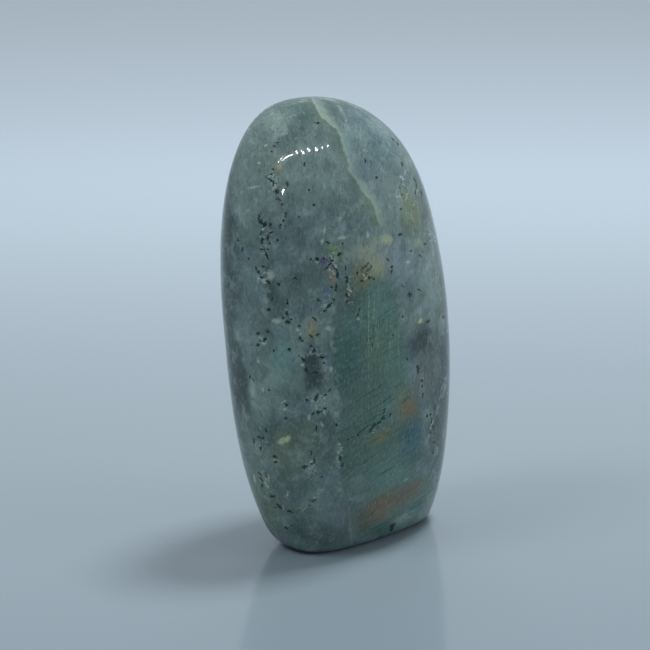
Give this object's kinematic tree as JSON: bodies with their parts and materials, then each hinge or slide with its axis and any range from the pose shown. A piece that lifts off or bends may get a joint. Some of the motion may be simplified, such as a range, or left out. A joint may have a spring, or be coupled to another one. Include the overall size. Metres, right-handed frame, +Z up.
{
  "type": "polished standing stone",
  "caption": "Palm-high polished labradorite freeform: a rounded, slightly leaning slab with a domed top and a flat cut base that it stands on.",
  "frame": {"origin": "under the middle of the stone's outline, on the surface that it stands on", "axes": "+Z up, X along the stone's width, Y along its thickness, the broad face with the play of colour towards -Y"},
  "size_m": [0.0526, 0.0326, 0.09],
  "materials": {
    "polished_stone": "grey-green feldspar ground and polished all over, with veins, dark flakes and a play of colour on the broad face"
  },
  "bodies": {
    "root": {"stone": "polished_stone"}
  },
  "joints": []
}
